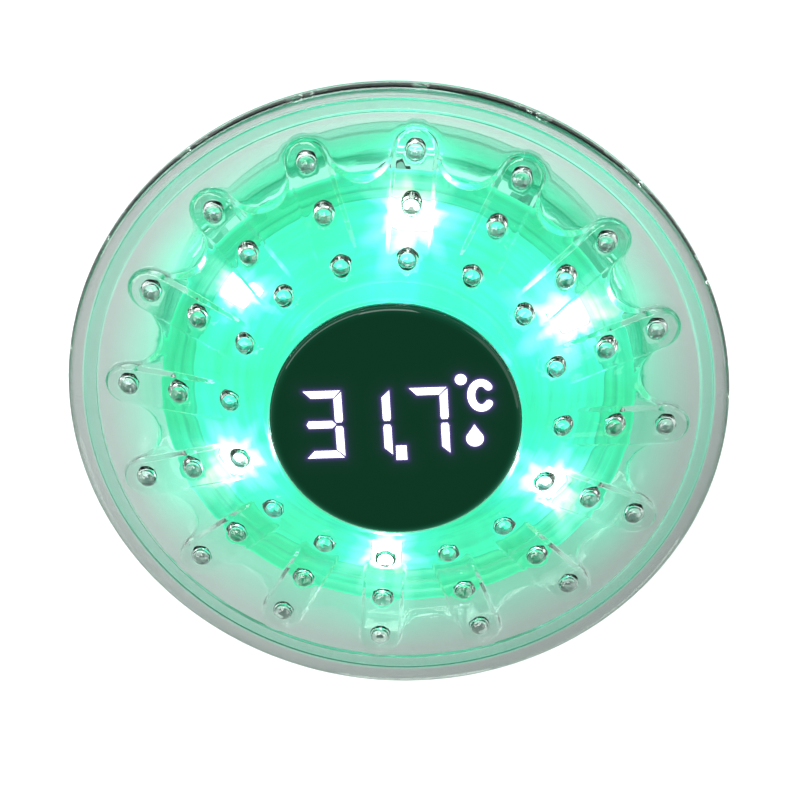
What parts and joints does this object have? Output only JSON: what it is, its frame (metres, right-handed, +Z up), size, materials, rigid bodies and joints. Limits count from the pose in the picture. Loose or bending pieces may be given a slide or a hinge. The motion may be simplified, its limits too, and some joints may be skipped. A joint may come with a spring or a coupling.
{
  "type": "floating pool thermometer",
  "caption": "Round clear float with a wide rim, finned domed cover lit from inside, black window with lit temperature digits, battery door, power button and steel temperature probe below.",
  "frame": {"origin": "centre of the foot ring, on the surface the float stands on", "axes": "+Z up through the display window, +X along the displayed digits, +Y the way up they are read"},
  "size_m": [0.1, 0.1, 0.0314],
  "materials": {
    "clear_cover": "clear moulded plastic, polished",
    "clear_hull": "clear moulded plastic, polished",
    "seal_ring": "translucent silicone lit by the LEDs",
    "window_black": "black gloss window with a bevelled edge",
    "display_lit": "lit segments, white with a violet edge",
    "shroud_black": "black moulded plastic",
    "adhesive_black": "foam adhesive",
    "board_green": "circuit board with solder mask",
    "reflector_lit": "white plastic lit green by the LEDs",
    "led_lit": "lit LED",
    "screw_steel": "turned steel",
    "chip_black": "moulded epoxy",
    "can_metal": "bare can",
    "tray_white": "white moulded plastic",
    "cell_wrap": "plain printed foil wrap",
    "contact_nickel": "nickel plated",
    "wire_red": "soft insulation",
    "wire_black": "soft insulation",
    "wire_white": "soft insulation",
    "door_plastic": "frosted moulded plastic",
    "gasket_rubber": "moulded rubber",
    "button_silicone": "soft silicone",
    "switch_black": "moulded plastic",
    "plunger_cream": "moulded plastic",
    "probe_steel": "deep drawn stainless steel"
  },
  "bodies": {
    "float_body": {"top_cover": "clear_cover", "lower_hull": "clear_hull", "rim_gasket": "seal_ring", "display_lens": "window_black", "lens_seal": "adhesive_black", "display_shroud": "shroud_black", "display_module": "display_lit", "display_board": "board_green", "pin_header": "chip_black", "reflector": "reflector_lit", "main_board": "board_green", "led_1": "led_lit", "led_2": "led_lit", "led_3": "led_lit", "led_4": "led_lit", "led_5": "led_lit", "led_6": "led_lit", "board_screw_1": "screw_steel", "board_screw_2": "screw_steel", "board_screw_3": "screw_steel", "board_screw_4": "screw_steel", "controller_chip": "chip_black", "led_driver_chip": "chip_black", "buffer_capacitor": "can_metal", "battery_tray": "tray_white", "battery_1": "cell_wrap", "battery_2": "cell_wrap", "battery_3": "cell_wrap", "contact_spring_1": "contact_nickel", "contact_spring_2": "contact_nickel", "contact_spring_3": "contact_nickel", "contact_plate_1": "contact_nickel", "contact_plate_2": "contact_nickel", "contact_plate_3": "contact_nickel", "battery_lead_red": "wire_red", "battery_lead_black": "wire_black", "button_retainer": "tray_white", "power_switch": "switch_black", "temperature_probe": "probe_steel", "probe_seal": "gasket_rubber", "thermistor": "chip_black", "sensor_lead": "wire_white", "electrode_1": "probe_steel", "electrode_2": "probe_steel"},
    "door": {"battery_door": "door_plastic", "door_gasket": "gasket_rubber", "door_screw_1": "screw_steel", "door_screw_2": "screw_steel"},
    "button": {"power_button": "button_silicone", "switch_plunger": "plunger_cream"}
  },
  "joints": [
    {"name": "door_lift_off", "type": "slide", "parent": "float_body", "child": "door", "axis": [0, 0, -1], "range_m": [0, 0.025]},
    {"name": "button_press", "type": "slide", "parent": "float_body", "child": "button", "axis": [0, 0, 1], "range_m": [0, 0.0008], "stiffness_N_per_m": 2000, "springref_m": -0.0003}
  ]
}
